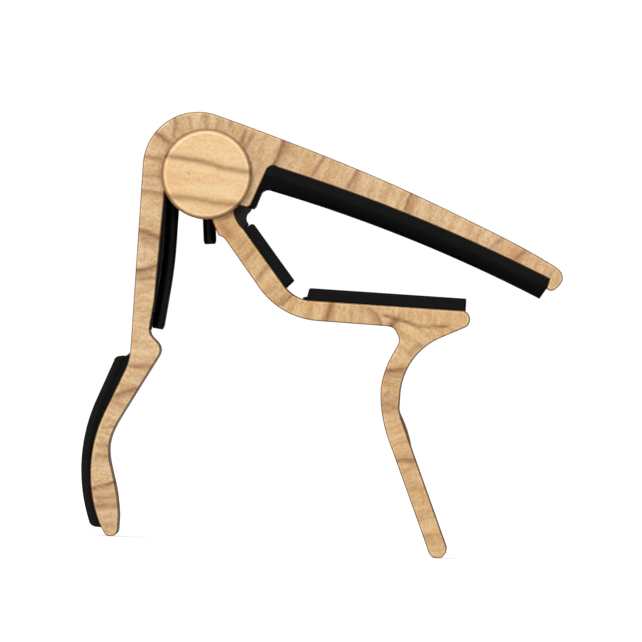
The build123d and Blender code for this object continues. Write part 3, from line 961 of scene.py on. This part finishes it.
class CAPO_OT_spring(bpy.types.Operator):
    """Winds the torsion spring and its two legs"""

    bl_idname = "capo.spring"
    bl_label = "Spring"

    def execute(self, context):
        settings = context.scene.capo_spring
        finish = spring_finish("spring_finish")
        line = bpy.data.curves.new("spring_path", "CURVE")
        line.dimensions = "3D"
        path = spring_path(settings.coil_radius)
        spline = line.splines.new("POLY")
        spline.points.add(len(path) - 1)
        for point, spot in zip(spline.points, path):
            point.co = (*(PIVOT + spot * MM), 1.0)
        for index in (0, len(path) - 1):
            spline.points[index].radius = 0.8
        guide = bpy.data.objects.new("spring_path", line)
        context.scene.collection.objects.link(guide)
        modifier = guide.modifiers.new("Wire", "NODES")
        tree = wire_tree(finish)
        modifier.node_group = tree
        sizes = {
            "Wire radius": settings.wire_radius, "Sides": settings.sides,
            "Point spacing": WIRE_SPACING * MM,
        }
        for item in tree.interface.items_tree:
            if item.in_out == "INPUT" and item.name in sizes:
                modifier[item.identifier] = sizes[item.name]
        context.view_layer.update()
        mesh = bpy.data.meshes.new_from_object(guide.evaluated_get(context.evaluated_depsgraph_get()))
        mesh.name = "torsion_spring_wire"
        bpy.data.objects.remove(guide)
        smooth(mesh, WIRE_CREASE)
        wire = new_object("torsion_spring_wire", mesh, finish)
        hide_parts("torsion_spring")
        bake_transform(wire)
        return {"FINISHED"}


# ---------------------------------------------------------------- pivot parts
class CAPO_OT_pivot(bpy.types.Operator):
    """Finishes the pivot's parts, which keep their CAD shape"""

    bl_idname = "capo.pivot"
    bl_label = "Pivot"

    def execute(self, context):
        steel = turned_steel("pivot_steel_finish")
        nylon = plastic("nylon_finish", (0.55, 0.54, 0.5), (0.68, 0.67, 0.62), 0.45, 4.0, 0.01)
        foam = plastic("adhesive_foam_finish", (0.03, 0.03, 0.03), (0.07, 0.07, 0.07), 0.85, 9.0, 0.05)
        # The liner is coloured near black; it also stands for the shade on the handle's inner wall beside
        # the spring leg, so its black is partly painted shade.
        liner_and_painted_shade = plastic(
            "liner_finish", (0.001, 0.001, 0.0012), (0.004, 0.0035, 0.0035), 0.6, 6.0, 0.01, specular=0.08
        )
        finishes = {
            steel: ("pivot_barrel", "pivot_screw"),
            nylon: ("front_thrust_washer", "rear_thrust_washer", "spring_bush"),
            foam: ("front_adhesive_disc", "rear_adhesive_disc"),
            liner_and_painted_shade: ("spring_leg_liner",),
        }
        for finish, nodes in finishes.items():
            for node in nodes:
                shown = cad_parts[node]
                shown.data.materials.clear()
                shown.data.materials.append(finish)
        return {"FINISHED"}


# ---------------------------------------------------------------- stage
ROLL = radians(3.85)
CAMERA_AZIMUTH = radians(0.65)
CAMERA_DISTANCE = 4.0
VIEW_WIDTH = 0.1284
VIEW_CENTRE = Vector((-0.85 * MM, -9.0 * MM, 45.8 * MM))
SENSOR = 36.0
# each light's name, the direction it comes from and its width in degrees
LIGHTS = (
    ("key", (-0.5, -0.8, 0.55), 30),
    ("fill", (0.62, -0.8, 0.12), 4),
    ("top", (0.0, 0.15, 1.0), 60),
)
# how bright the floor and the surroundings look to the camera alone
FLOOR_GLOW = 0.62
BACKDROP = 1.05


def soft_light(name, direction, spread, strength):
    """A wide even light that comes from one direction."""
    light = bpy.data.lights.new(name, "SUN")
    light.angle = radians(spread)
    light.energy = strength
    lamp = bpy.data.objects.new(name, light)
    bpy.context.scene.collection.objects.link(lamp)
    lamp.location = Vector(direction)
    lamp.rotation_euler = (-Vector(direction)).to_track_quat("-Z", "Y").to_euler()


class CAPO_OT_stage(bpy.types.Operator):
    """Sets the pale floor, the soft lights and the camera"""

    bl_idname = "capo.stage"
    bl_label = "Stage"

    def execute(self, context):
        settings = context.scene.capo_stage
        scene = context.scene
        shape = bmesh.new()
        bmesh.ops.create_circle(shape, cap_ends=True, radius=settings.floor_radius, segments=128)
        mesh = mesh_of("floor", shape)
        material, tree, shader, place = new_material("floor_finish")
        tone = cloud(tree, place, detail=3, scale=0.01)
        base = blend_colours(tree, tone, (0.62, 0.62, 0.62), (0.66, 0.66, 0.66))
        tree.links.new(base, shader.inputs["Base Color"])
        shader.inputs["Roughness"].default_value = 1.0
        shader.inputs["Specular IOR Level"].default_value = 0.0
        seen = put(tree, "ShaderNodeLightPath").outputs["Is Camera Ray"]
        shader.inputs["Emission Color"].default_value = (1, 1, 1, 1)
        tree.links.new(maths(tree, "MULTIPLY", seen, FLOOR_GLOW), shader.inputs["Emission Strength"])
        floor = new_object("floor", mesh, material)

        world = bpy.data.worlds.new("studio")
        world.use_nodes = True
        tree = world.node_tree
        background = tree.nodes["Background"]
        background.inputs["Color"].default_value = (1, 1, 1, 1)
        seen = put(tree, "ShaderNodeLightPath").outputs["Is Camera Ray"]
        levels = {"Value": seen, "To Min": settings.ambient, "To Max": BACKDROP}
        spread = put(tree, "ShaderNodeMapRange", levels)
        tree.links.new(spread.outputs[0], background.inputs["Strength"])
        scene.world = world

        for name, direction, width in LIGHTS:
            soft_light(name, direction, width, getattr(settings, name))

        across = Vector((cos(ROLL), 0, sin(ROLL)))
        up = Vector((-sin(ROLL), 0, cos(ROLL)))
        back = Vector((0, -1, 0))
        turn = Matrix.Rotation(CAMERA_AZIMUTH, 3, up)
        across, back = turn @ across, turn @ back
        data = bpy.data.cameras.new("camera")
        data.sensor_width = SENSOR
        data.lens = SENSOR * CAMERA_DISTANCE / VIEW_WIDTH
        data.clip_start, data.clip_end = 0.05, 20.0
        camera = bpy.data.objects.new("camera", data)
        scene.collection.objects.link(camera)
        axes = Matrix((across, up, back)).transposed()
        camera.matrix_world = Matrix.Translation(VIEW_CENTRE + back * CAMERA_DISTANCE) @ axes.to_4x4()
        scene.camera = camera
        scene.view_settings.view_transform = "Standard"
        return {"FINISHED"}


class CAPO_PT_looks(bpy.types.Panel):
    """Lists the settings and the makers of each group of pieces"""

    bl_label = "Trigger Capo"
    bl_idname = "CAPO_PT_looks"
    bl_space_type = "VIEW_3D"
    bl_region_type = "UI"
    bl_category = "Capo"

    def draw(self, context):
        for group, steps in PANEL_ROWS:
            box = self.layout.box()
            settings = getattr(context.scene, group)
            for name in settings.bl_rna.properties.keys():
                if name not in ("rna_type", "name"):
                    box.prop(settings, name)
            for step in steps:
                box.operator(step.bl_idname)


PANEL_ROWS = (
    ("capo_stage", (CAPO_OT_stage,)),
    ("capo_print", (CAPO_OT_levers, CAPO_OT_caps)),
    ("capo_pads", (CAPO_OT_pads,)),
    ("capo_spring", (CAPO_OT_spring, CAPO_OT_pivot)),
)
SETTINGS = {
    "capo_print": CapoPrintSettings,
    "capo_pads": CapoPadSettings,
    "capo_spring": CapoSpringSettings,
    "capo_stage": CapoStageSettings,
}
CLASSES = (
    *SETTINGS.values(), CAPO_OT_stage, CAPO_OT_levers, CAPO_OT_caps, CAPO_OT_pads, CAPO_OT_spring,
    CAPO_OT_pivot, CAPO_PT_looks,
)


def register():
    """Makes the settings, operators and panel known to Blender."""
    for item in CLASSES:
        bpy.utils.register_class(item)
    for name, group in SETTINGS.items():
        setattr(bpy.types.Scene, name, PointerProperty(type=group))


def unregister():
    """Takes them away again."""
    for name in SETTINGS:
        delattr(bpy.types.Scene, name)
    for item in reversed(CLASSES):
        bpy.utils.unregister_class(item)


def main():
    """Builds every piece in order."""
    register()
    for step in ("stage", "levers", "caps", "pads", "spring", "pivot"):
        getattr(bpy.ops.capo, step)()


if __name__ == "__main__":
    main()
